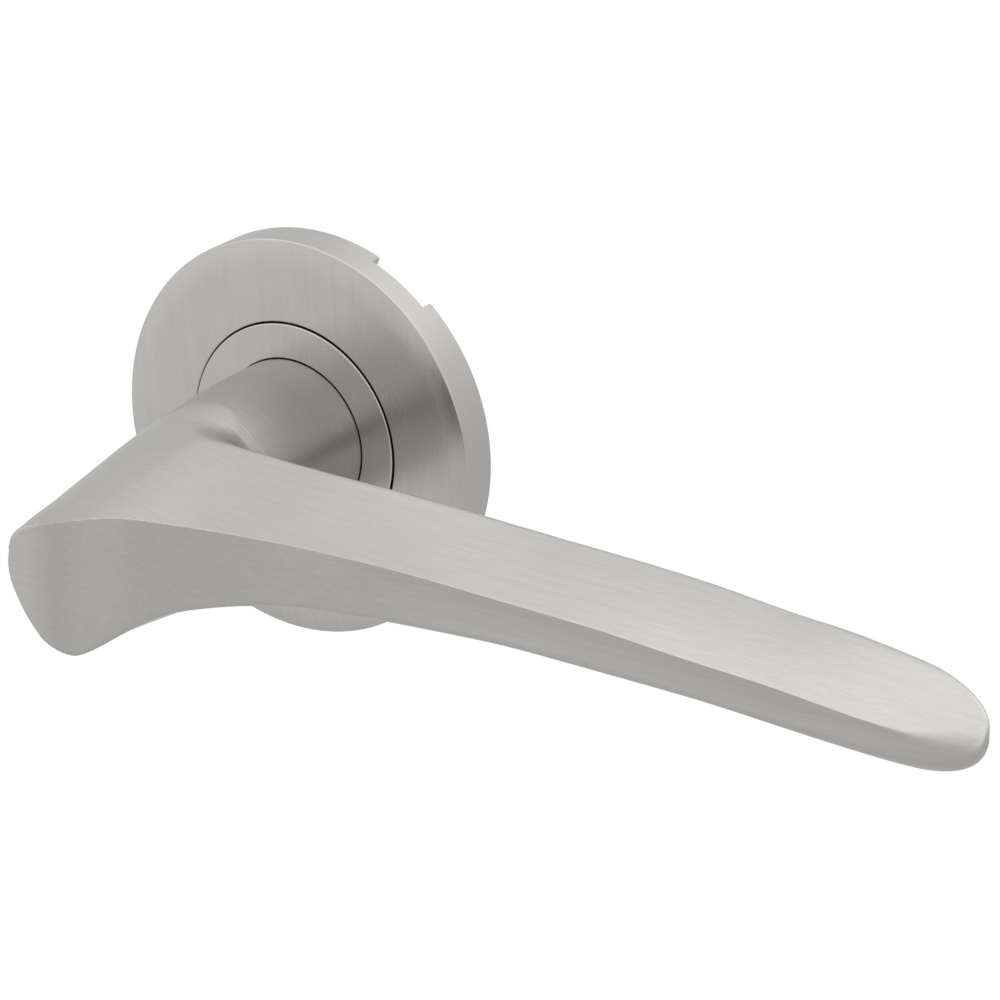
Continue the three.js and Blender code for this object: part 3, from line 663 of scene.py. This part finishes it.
snap_ring = soften(prism("cover_snap_ring_wire", sector(24.95, 25.7, 231, 581, 200), -2.35, -1.65), 0.14, 3)
front_bush = turned_object("front_bush_body", [(8.3, -4.6), (12.6, -4.6), (12.6, -3.6), (9.0, -3.6), (9.0, -1.6), (8.3, -1.6)], [0.15, 0.2, 0.15, 0.1, 0.15, 0.12], count=144)
rear_bush = turned_object("rear_bush_body", [(8.3, 8.3), (12.0, 8.3), (12.0, 7.3), (9.0, 7.3), (9.0, 5.8), (8.3, 5.8)], [0.15, 0.2, 0.15, 0.1, 0.15, 0.12], count=144)

place(mounting_plate(), BLACK_NYLON, "rose", "mounting_plate")
place(snap_ring, SPRING, "rose", "cover_snap_ring")
place(spring_housing(), PLATED, "rose", "spring_housing")
place(washer("housing_lid_disc", 9.3, 13.3, -3.3, -2.3), PLATED, "rose", "housing_lid")
place(front_bush, BUSH_NYLON, "rose", "front_bush")
place(rear_bush, BUSH_NYLON, "rose", "rear_bush")
place(stop_pin("stop_pin_rest_body", 297), SPRING, "rose", "stop_pin_rest")
place(stop_pin("stop_pin_down_body", 198), SPRING, "rose", "stop_pin_down")
place(fixing_screw("fixing_screw_upper_body", 19.0), ZINC, "rose", "fixing_screw_upper")
place(fixing_screw("fixing_screw_lower_body", -19.0), ZINC, "rose", "fixing_screw_lower")
place(fixing_lug("fixing_lug_upper_body", 19.0), ZINC, "rose", "fixing_lug_upper")
place(fixing_lug("fixing_lug_lower_body", -19.0), ZINC, "rose", "fixing_lug_lower")
place(lever_journal(), PLATED, "lever", "lever_journal")
place(spring_driver(), PLATED, "lever", "spring_driver")
place(washer("thrust_washer_disc", 8.4, 11.5, 8.6, 9.1, 0.08), PLATED, "lever", "thrust_washer")
place(wave_washer(), SPRING, "lever", "wave_washer")
place(retaining_ring(), SPRING, "lever", "retaining_ring")
place(spindle(), ZINC, "lever", "spindle")
place(spindle_grub_screw(), SPRING, "lever", "spindle_grub_screw")

# the spring bends as the lever turns, so it stays as it is in the frame
for node, material in (("return_spring", SPRING),):
    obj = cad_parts[node]
    for s in obj.material_slots:
        s.material = material




# ------------------------------------------------------------------ lever: tables of [x, value]
FRONT_EDGE = [[-8, 61.06], [-4, 60.66], [0, 60.7], [4, 59.54], [7, 56.8], [9, 55], [11, 53.6], [13.5, 52.3], [15.3, 51.4], [18, 50.2], [22, 48.8], [26, 47.6], [30, 46.6], [36, 45.6], [43, 44.8], [50, 44.3], [57, 44], [80, 43.8], [93, 43.5], [103, 43], [110, 42.4], [114, 42.2], [122, 41.6]]  # how far out the front edge of the top surface is
TOP_BACK = [[-8, 11.23], [0, 11.13], [7, 10.64], [14, 9.97], [23, 9.53], [30, 9.42], [43.5, 9.01], [57, 8.41], [71, 7.9], [82, 7.22], [93, 6.05], [103, 6.18], [110, 5.74], [114, 5.49], [122, 4.99]]  # height of the top surface at the back
TOP_FRONT = [[-8, 4.86], [-4, 5.06], [0, 6.4], [7, 7.64], [14, 6.63], [23, 5.85], [30, 5.34], [43.5, 4.63], [57, 3.82], [71, 3.26], [82, 2.38], [93, 1.6], [103, 0.35], [110, -0.5], [114, -0.9], [122, -1.5]]  # height of the top surface at its front edge
CROWN = [[-8, -0.29], [0, -0.29], [24, -0.25], [35, -0.24], [45, -0.2], [55, 0.06], [65, 0.15], [75, 0.2], [82, 0.36], [88, 0.42], [94, 0.28], [100, 0.12], [106, 0.06], [112, 0.06], [122, 0.06]]  # how much of the fall from back to front is curved
UNDER = [[-8, -6.1], [9, -6.03], [13.4, -5.41], [15.3, -4.76], [18, -4.24], [22.4, -3.4], [30, -2.63], [43.5, -2.59], [57, -2.3], [71, -2.54], [82, -2.8], [93, -3.55], [103, -4.46], [110, -5.04], [114, -5.14], [122, -5.24]]  # height of the underside
BACK = [[-8, 32.7], [82, 32.7], [93, 32.8], [103, 33.54], [110, 34.09], [114, 34.69], [122, 35.69]]  # how far out the back is
UNDERCUT = [[-8, 0], [29, 0], [33, 0.25], [46, 1.1], [100, 1.1], [110, 0.7], [114, 0.4], [122, 0.4]]  # how far the front band leans back below the edge
ROUND_BACK = [[-8, 4.29], [2, 3.99], [14, 1], [95, 0.8], [105, 1.2], [114, 1], [122, 1]]  # edge roundings
ROUND_UNDER = [[-8, 0.5], [14, 0.6], [30, 0.8], [95, 1.1], [105, 1.8], [114, 2.92], [122, 2.92]]
ROUND_EDGE = [[-8, 0.5], [-2, 0.25], [4, 0.08], [105, 0.08], [109, 0.25], [112, 0.8], [115, 2], [118, 2.6], [122, 2.6]]
ROUND_HEEL = [[-8, 2.8], [95, 2.8], [114, 3.02], [122, 3.02]]
TIP = {"x": 108.24, "L": 10.63, "cd": 38.69, "cz": -0.73, "a": 2.56, "b": 2.61}
# Neck: centre and half size of its oval sections, by the distance from the door
NECK_OUT = [0, 12, 18, 24, 31, 37, 43, 48, 52, 56, 60.5, 70]
NECK_X = [0, 0, 0.35, 0.94, 1.81, 2.51, 3.21, 3.23, 3.06, 4.21, 5.16, 5.16]
NECK_HALF_WIDTH = [11, 11, 10.95, 10.79, 10.59, 10.38, 10.06, 9.46, 8.88, 8.57, 8.57, 8.57]
NECK_Z = [0, 0, 0, 0, 0, 0.05, 0.03, 0.02, 0.03, 0.04, 0.14, 0.14]
NECK_HALF_HEIGHT = [11, 11, 10.95, 10.9, 10.85, 10.85, 10.82, 10.78, 10.74, 10.7, 10.75, 10.75]
NECK_POINTED = 1.534  # exponent of the oval where the neck ends in the elbow's lower point
UNDER_SAG = 0.8
ELBOW_FILLET = 5.0


class Curve:
    """A smooth curve through stations: monotone cubic, then softened."""

    def __init__(self, stations, sigma, step=0.25):
        st = np.array(stations, float)
        xs, ys = st[:, 0], st[:, 1]
        h = np.diff(xs)
        s = np.diff(ys) / h
        m = np.empty(len(xs))
        m[0], m[-1] = s[0], s[-1]
        for i in range(1, len(xs) - 1):
            m[i] = 0 if s[i - 1] * s[i] <= 0 else 2 * s[i - 1] * s[i] / (s[i - 1] + s[i])
        pad = 4 * sigma + 1
        g = np.arange(xs[0] - pad, xs[-1] + pad + step, step)
        i = np.clip(np.searchsorted(xs, g) - 1, 0, len(xs) - 2)
        t = (g - xs[i]) / h[i]
        y = (2 * t**3 - 3 * t**2 + 1) * ys[i] + (t**3 - 2 * t**2 + t) * h[i] * m[i] + (3 * t**2 - 2 * t**3) * ys[i + 1] + (t**3 - t**2) * h[i] * m[i + 1]
        y = np.where(g < xs[0], ys[0] + m[0] * (g - xs[0]), y)
        y = np.where(g > xs[-1], ys[-1] + m[-1] * (g - xs[-1]), y)
        n = int(np.ceil(4 * sigma / step))
        k = np.exp(-0.5 * (np.arange(-n, n + 1) * step / sigma) ** 2)
        k /= k.sum()
        self.start, self.step = g[0], step
        self.y = np.convolve(np.pad(y, n, mode="edge"), k, mode="valid")
        self.d = np.gradient(self.y, step)

    def __call__(self, x):
        u = (x - self.start) / self.step
        i = np.clip(np.floor(u).astype(int), 0, len(self.y) - 2)
        t = np.clip(u - i, 0, 1)
        y, d, h = self.y, self.d, self.step
        return (2 * t**3 - 3 * t**2 + 1) * y[i] + (t**3 - 2 * t**2 + t) * h * d[i] + (3 * t**2 - 2 * t**3) * y[i + 1] + (t**3 - t**2) * h * d[i + 1]

    def slope(self, x):
        return np.interp(x, self.start + self.step * np.arange(len(self.y)), self.d)


front_at = Curve(FRONT_EDGE, 1.6)
top_back_at = Curve(TOP_BACK, 4.0)
top_front_at = Curve(TOP_FRONT, 2.5)
crown_at = Curve(CROWN, 4.0)
under_at = Curve(UNDER, 2.5)
back_at = Curve(BACK, 3.0)
undercut_at = Curve(UNDERCUT, 1.5)
round_back_at = Curve(ROUND_BACK, 2.0)
round_under_at = Curve(ROUND_UNDER, 2.0)
round_edge_at = Curve(ROUND_EDGE, 1.2)
round_heel_at = Curve(ROUND_HEEL, 2.0)
neck_x_at, neck_hx_at, neck_z_at, neck_hz_at = (
    Curve(list(zip(NECK_OUT, values)), 3.0) for values in (NECK_X, NECK_HALF_WIDTH, NECK_Z, NECK_HALF_HEIGHT)
)


def soft_max(a, b, k):
    h = np.maximum(k - np.abs(a - b), 0.0)
    return np.maximum(a, b) + h * h / (4 * k)


def soft_min(a, b, k):
    h = np.maximum(k - np.abs(a - b), 0.0)
    return np.minimum(a, b) - h * h / (4 * k)


def ramp(a, b, x):
    t = np.clip((x - a) / (b - a), 0, 1)
    return t * t * (3 - 2 * t)


def lever_field(x, out, z):
    """Roughly the distance from the lever's outer surface in millimetres, negative inside."""
    t = np.clip((x - TIP["x"]) / TIP["L"], 0, None)
    s = (1 - np.minimum(t, 0.9999) ** TIP["a"]) ** (1 / TIP["b"])
    xe = np.minimum(x, TIP["x"] + TIP["L"])
    de = np.clip(TIP["cd"] + (out - TIP["cd"]) / s, -400, 400)
    ze = np.clip(TIP["cz"] + (z - TIP["cz"]) / s, -400, 400)

    # top surface: falls from back to front, and is crowned along the bar
    height_back, height_edge, front, crown = top_back_at(xe), top_front_at(xe), front_at(xe), crown_at(xe)
    width = front - 33.3
    u = (de - 33.3) / width
    up = np.maximum(u, 0)
    height = height_back - (height_back - height_edge) * ((1 - crown) * u + crown * up * up)
    slope = -(height_back - height_edge) * ((1 - crown) + 2 * crown * up) / width
    top = (ze - height) / np.sqrt(1 + slope * slope)

    # underside and back
    low, back = under_at(xe), back_at(xe)
    s_under = (front - de) / (front - back)
    under = low - UNDER_SAG * (1 - (2 * s_under - 1) ** 2) - ze
    middle, half = 0.5 * (low + height), 0.5 * np.maximum(height - low, 1)
    behind = back - 0.3 * (1 - ((ze - middle) / half) ** 2) - de
    core = soft_max(soft_max(under, behind, round_heel_at(xe)), 4.0 - xe, 2.0)

    # front: the scooped face of the elbow, which becomes the band below the edge of the bar
    s_band = np.clip((height_edge - ze) / np.maximum(height_edge - low, 1), 0, 1)
    face = (de - (front - undercut_at(xe) * (0.3 * s_band + 0.7 * (1 - (1 - s_band) ** 3)))) / np.sqrt(1 + front_at.slope(xe) ** 2)

    # neck
    hx, hz = neck_hx_at(de), neck_hz_at(de)
    px, pz = xe - neck_x_at(de), ze - neck_z_at(de)
    q2 = np.sqrt((px / hx) ** 2 + (pz / hz) ** 2) + 1e-6
    gradient = np.sqrt(px**2 / hx**4 + pz**2 / hz**4) / q2 + 1e-6
    power = 2 - (2 - NECK_POINTED) * ramp(38, 57, de) * ramp(3, -4, ze)
    q = ((np.abs(px) / hx) ** power + (np.abs(pz) / hz) ** power) ** (1 / power) + 1e-6
    neck = np.where(q2 < 0.3, -np.minimum(hx, hz) * (1 - q), (q - 1) / gradient)

    body = soft_min(neck, core, ELBOW_FILLET)
    k_back = round_back_at(xe)
    k_back = np.where(xe < 16, 1.0 + (k_back - 1.0) * ramp(18, 32, de), k_back)
    k_back = k_back * (1 - 0.5 * ramp(50, 58, de) * (xe < 16))
    f = soft_max(body, top, k_back)
    k_under, k_edge = round_under_at(xe), round_edge_at(xe)
    blend = ramp(0.35, 0.8, (ze - low) / np.maximum(height_edge - low, 1))
    f = soft_max(f, face, k_under + (k_edge - k_under) * blend)
    f = f * np.where(x > TIP["x"], s, 1.0)
    return np.where(t >= 1.0, np.maximum(x - TIP["x"] - TIP["L"], 0) + 1e-3, f)


def lever_solid(x, out, z):
    """The lever with its rear face, the bore for the journal and the hole for the grub screw."""
    f = np.maximum(lever_field(x, out, z), 4.95 - out)
    bore = np.maximum(np.sqrt(x * x + z * z) - 8.3, out - 26.3)
    grub = np.maximum(np.sqrt(x * x + (out - 15) ** 2) - 2.8, z + 6)
    return np.maximum(np.maximum(f, -bore), -grub)


def gradient_of(F, p, eps=0.02):
    g = np.empty_like(p)
    for q in range(3):
        d = np.zeros(3)
        d[q] = eps
        g[:, q] = F(*(p + d).T) - F(*(p - d).T)
    return g / (2 * eps)


def surface_mesh(F, lo, hi, h, settle=0.08):
    """Vertices and four-sided faces on F = 0, one vertex for each cell of a grid, set on edges and corners where cells hold them."""
    lo = np.array(lo, float)
    n = np.ceil((np.array(hi) - lo) / h).astype(int) + 1
    ax = [lo[i] + h * np.arange(n[i]) for i in range(3)]
    V = np.empty(n, np.float32)
    for i0 in range(0, n[0], 24):
        i1 = min(i0 + 24, n[0])
        V[i0:i1] = F(*np.meshgrid(ax[0][i0:i1], ax[1], ax[2], indexing="ij"))
    V[V == 0] = 1e-7
    sign = V < 0
    nc = n - 1
    points, normals, cells, faces, flips = [], [], [], [], []
    for a in range(3):
        first, second = [slice(None)] * 3, [slice(None)] * 3
        first[a], second[a] = slice(0, -1), slice(1, None)
        index = np.argwhere(sign[tuple(first)] != sign[tuple(second)])
        b, c = (a + 1) % 3, (a + 2) % 3
        inside = (index[:, b] > 0) & (index[:, b] < n[b] - 1) & (index[:, c] > 0) & (index[:, c] < n[c] - 1)
        index = index[inside]
        p0 = np.stack([ax[q][index[:, q]] for q in range(3)], 1)
        e = np.zeros(3)
        e[a] = h
        f0 = V[tuple(index.T)].astype(float)
        j = index.copy()
        j[:, a] += 1
        f1 = V[tuple(j.T)].astype(float)
        t0, t1 = np.zeros(len(index)), np.ones(len(index))
        for it in range(7):
            share = f0 / (f0 - f1 + 1e-30)
            t = t0 + (t1 - t0) * (np.clip(share, 0.05, 0.95) if it < 5 else share)
            f = F(*(p0 + t[:, None] * e).T)
            same = (f < 0) == (f0 < 0)
            t0, f0 = np.where(same, t, t0), np.where(same, f, f0)
            t1, f1 = np.where(same, t1, t), np.where(same, f1, f)
        p = p0 + (t0 + (t1 - t0) * f0 / (f0 - f1 + 1e-30))[:, None] * e
        g = gradient_of(F, p)
        g /= np.linalg.norm(g, axis=1, keepdims=True) + 1e-12
        ids = []
        for db, dc in ((0, 0), (-1, 0), (-1, -1), (0, -1)):
            q = index.copy()
            q[:, b] += db
            q[:, c] += dc
            ids.append((q[:, 0] * nc[1] + q[:, 1]) * nc[2] + q[:, 2])
        ids = np.stack(ids, 1)
        faces.append(ids)
        flips.append(sign[tuple(index.T)])
        for q in range(4):
            points.append(p)
            normals.append(g)
            cells.append(ids[:, q])
    P, N, CI = np.concatenate(points), np.concatenate(normals), np.concatenate(cells)
    unique, inverse = np.unique(CI, return_inverse=True)
    inverse = inverse.ravel()
    M = len(unique)
    share = np.bincount(inverse, minlength=M).astype(float)
    mass = np.stack([np.bincount(inverse, P[:, q], M) for q in range(3)], 1) / share[:, None]
    A, B = np.zeros((M, 3, 3)), np.zeros((M, 3))
    offset = ((P - mass[inverse]) * N).sum(1)
    for q in range(3):
        B[:, q] = np.bincount(inverse, N[:, q] * offset, M)
        for r in range(q, 3):
            A[:, q, r] = np.bincount(inverse, N[:, q] * N[:, r], M)
            A[:, r, q] = A[:, q, r]
    A /= share[:, None, None]
    B /= share[:, None]
    A += settle * np.eye(3)
    v = mass + np.linalg.solve(A, B[..., None])[..., 0]
    corner = lo + h * np.stack([unique // (nc[1] * nc[2]), (unique // nc[2]) % nc[1], unique % nc[2]], 1)
    v = np.clip(v, corner, corner + h)
    quads = np.searchsorted(unique, np.concatenate(faces))
    quads = np.where(np.concatenate(flips)[:, None], quads, quads[:, ::-1])
    f = F(*v.T)
    g = gradient_of(F, v)
    v = v - g * np.clip(f / np.maximum((g * g).sum(1), 0.05), -0.1 * h, 0.1 * h)[:, None]
    return v, quads


def lever_handle():
    v, quads = surface_mesh(lever_solid, (-13, 4.0, -13), (121, 62.5, 14), LEVER_CELL)
    # the edge of the bar lies exactly on its line
    front, edge = front_at(v[:, 0]), top_front_at(v[:, 0])
    near = (v[:, 0] > 6) & (v[:, 0] < 106) & (np.hypot(v[:, 1] - front, v[:, 2] - edge) < 0.45 * LEVER_CELL)
    v[near, 1], v[near, 2] = front[near], edge[near]
    # a normal for each vertex from the surface itself, and for each face corner where an edge is crisp
    g = gradient_of(lever_solid, v, 0.03)
    g /= np.linalg.norm(g, axis=1, keepdims=True) + 1e-12
    centre = v[quads].mean(1)
    corner = v[quads] + 0.42 * (centre[:, None, :] - v[quads])
    gc = gradient_of(lever_solid, corner.reshape(-1, 3), 0.03)
    gc /= np.linalg.norm(gc, axis=1, keepdims=True) + 1e-12
    gc = gc.reshape(quads.shape + (3,))
    gv = g[quads]
    crisp = (gc * gv).sum(-1) < math.cos(math.radians(20))
    worst = np.zeros(len(v), bool)
    worst[quads[crisp]] = True
    use = worst[quads]
    normal = np.where(use[..., None], gc, gv)

    def to_space(a):
        return np.stack([a[..., 0], -a[..., 1], a[..., 2]], -1)

    vertices = to_space(v)
    corner_normals = to_space(normal)
    # order of the corners so that faces look outwards
    a, b, c = vertices[quads[:, 0]], vertices[quads[:, 1]], vertices[quads[:, 2]]
    facing = (np.cross(b - a, c - a) * corner_normals.mean(1)).sum(1)
    if np.median(facing) < 0:
        quads, corner_normals = quads[:, ::-1], corner_normals[:, ::-1]
    return make_object("lever_handle_body", vertices, quads, corner_normals=corner_normals.reshape(-1, 3))


LEVER_CELL = 0.3
place(lever_handle(), LEVER_METAL, "lever", "lever_handle")


# ------------------------------------------------------------------ floor and light
def floor_material():
    material = bpy.data.materials.new("pale_floor")
    material.use_nodes = True
    tree = material.node_tree
    tree.nodes.clear()
    output = tree.nodes.new("ShaderNodeOutputMaterial")
    glow = tree.nodes.new("ShaderNodeEmission")
    glow.inputs["Color"].default_value = (1.0, 1.0, 1.0, 1.0)
    glow.inputs["Strength"].default_value = 1.0
    clear = tree.nodes.new("ShaderNodeBsdfTransparent")
    side = tree.nodes.new("ShaderNodeNewGeometry")
    choose = tree.nodes.new("ShaderNodeMixShader")
    tree.links.new(side.outputs["Backfacing"], choose.inputs[0])
    tree.links.new(glow.outputs[0], choose.inputs[1])
    tree.links.new(clear.outputs[0], choose.inputs[2])
    tree.links.new(choose.outputs[0], output.inputs[0])
    return material


floor_mesh = bpy.data.meshes.new("floor")
floor_mesh.from_pydata([(-6, -6, -0.2), (6, -6, -0.2), (6, 6, -0.2), (-6, 6, -0.2)], [], [(0, 1, 2, 3)])
floor_mesh.materials.append(floor_material())
floor = bpy.data.objects.new("floor", floor_mesh)
scene.collection.objects.link(floor)
floor.visible_glossy = False
floor.visible_diffuse = False
floor.visible_shadow = False

# Soft studio light from all round: a base tone, and broad soft boxes given as [direction, sharpness, strength].
BASE_LIGHT = 0.68
SOFT_BOXES = [
    [(-0.45, -0.35, 0.82), 5, 0.68],
    [(0.35, 0.25, 0.9), 7, 0.83],
    [(0.8, -0.45, 0.4), 6, 0.45],
    [(-0.75, -0.6, 0.1), 5, 0.33],
    [(0.1, 0.8, 0.55), 6, 0.38],
]

world = bpy.data.worlds.new("studio")
scene.world = world
world.use_nodes = True
tree = world.node_tree
tree.nodes.clear()
out_node = tree.nodes.new("ShaderNodeOutputWorld")
direction = tree.nodes.new("ShaderNodeTexCoord").outputs["Generated"]
total = None


def world_math(operation, a, b):
    node = tree.nodes.new("ShaderNodeMath")
    node.operation = operation
    for value, socket in zip((a, b), node.inputs):
        if hasattr(value, "is_output"):
            tree.links.new(value, socket)
        else:
            socket.default_value = value
    return node.outputs[0]


total = BASE_LIGHT
for towards, sharpness, strength in SOFT_BOXES:
    dot = tree.nodes.new("ShaderNodeVectorMath")
    dot.operation = "DOT_PRODUCT"
    tree.links.new(direction, dot.inputs[0])
    dot.inputs[1].default_value = Vector(towards).normalized()
    lobe = world_math("EXPONENT", world_math("MULTIPLY", world_math("SUBTRACT", dot.outputs["Value"], 1.0), sharpness), 0.0)
    total = world_math("ADD", total, world_math("MULTIPLY", lobe, strength))
total = world_math("MAXIMUM", total, 0.02)
light = tree.nodes.new("ShaderNodeBackground")
light.inputs["Color"].default_value = (1.0, 0.995, 0.98, 1.0)
tree.links.new(total, light.inputs["Strength"])
white = tree.nodes.new("ShaderNodeBackground")
white.inputs["Color"].default_value = (1.0, 1.0, 1.0, 1.0)
white.inputs["Strength"].default_value = 1.0
path = tree.nodes.new("ShaderNodeLightPath")
pick = tree.nodes.new("ShaderNodeMixShader")
tree.links.new(path.outputs["Is Camera Ray"], pick.inputs[0])
tree.links.new(light.outputs[0], pick.inputs[1])
tree.links.new(white.outputs[0], pick.inputs[2])
tree.links.new(pick.outputs[0], out_node.inputs[0])

scene.view_settings.view_transform = "Standard"
scene.view_settings.look = "None"
scene.view_settings.exposure = 0.0
scene.view_settings.gamma = 1.0
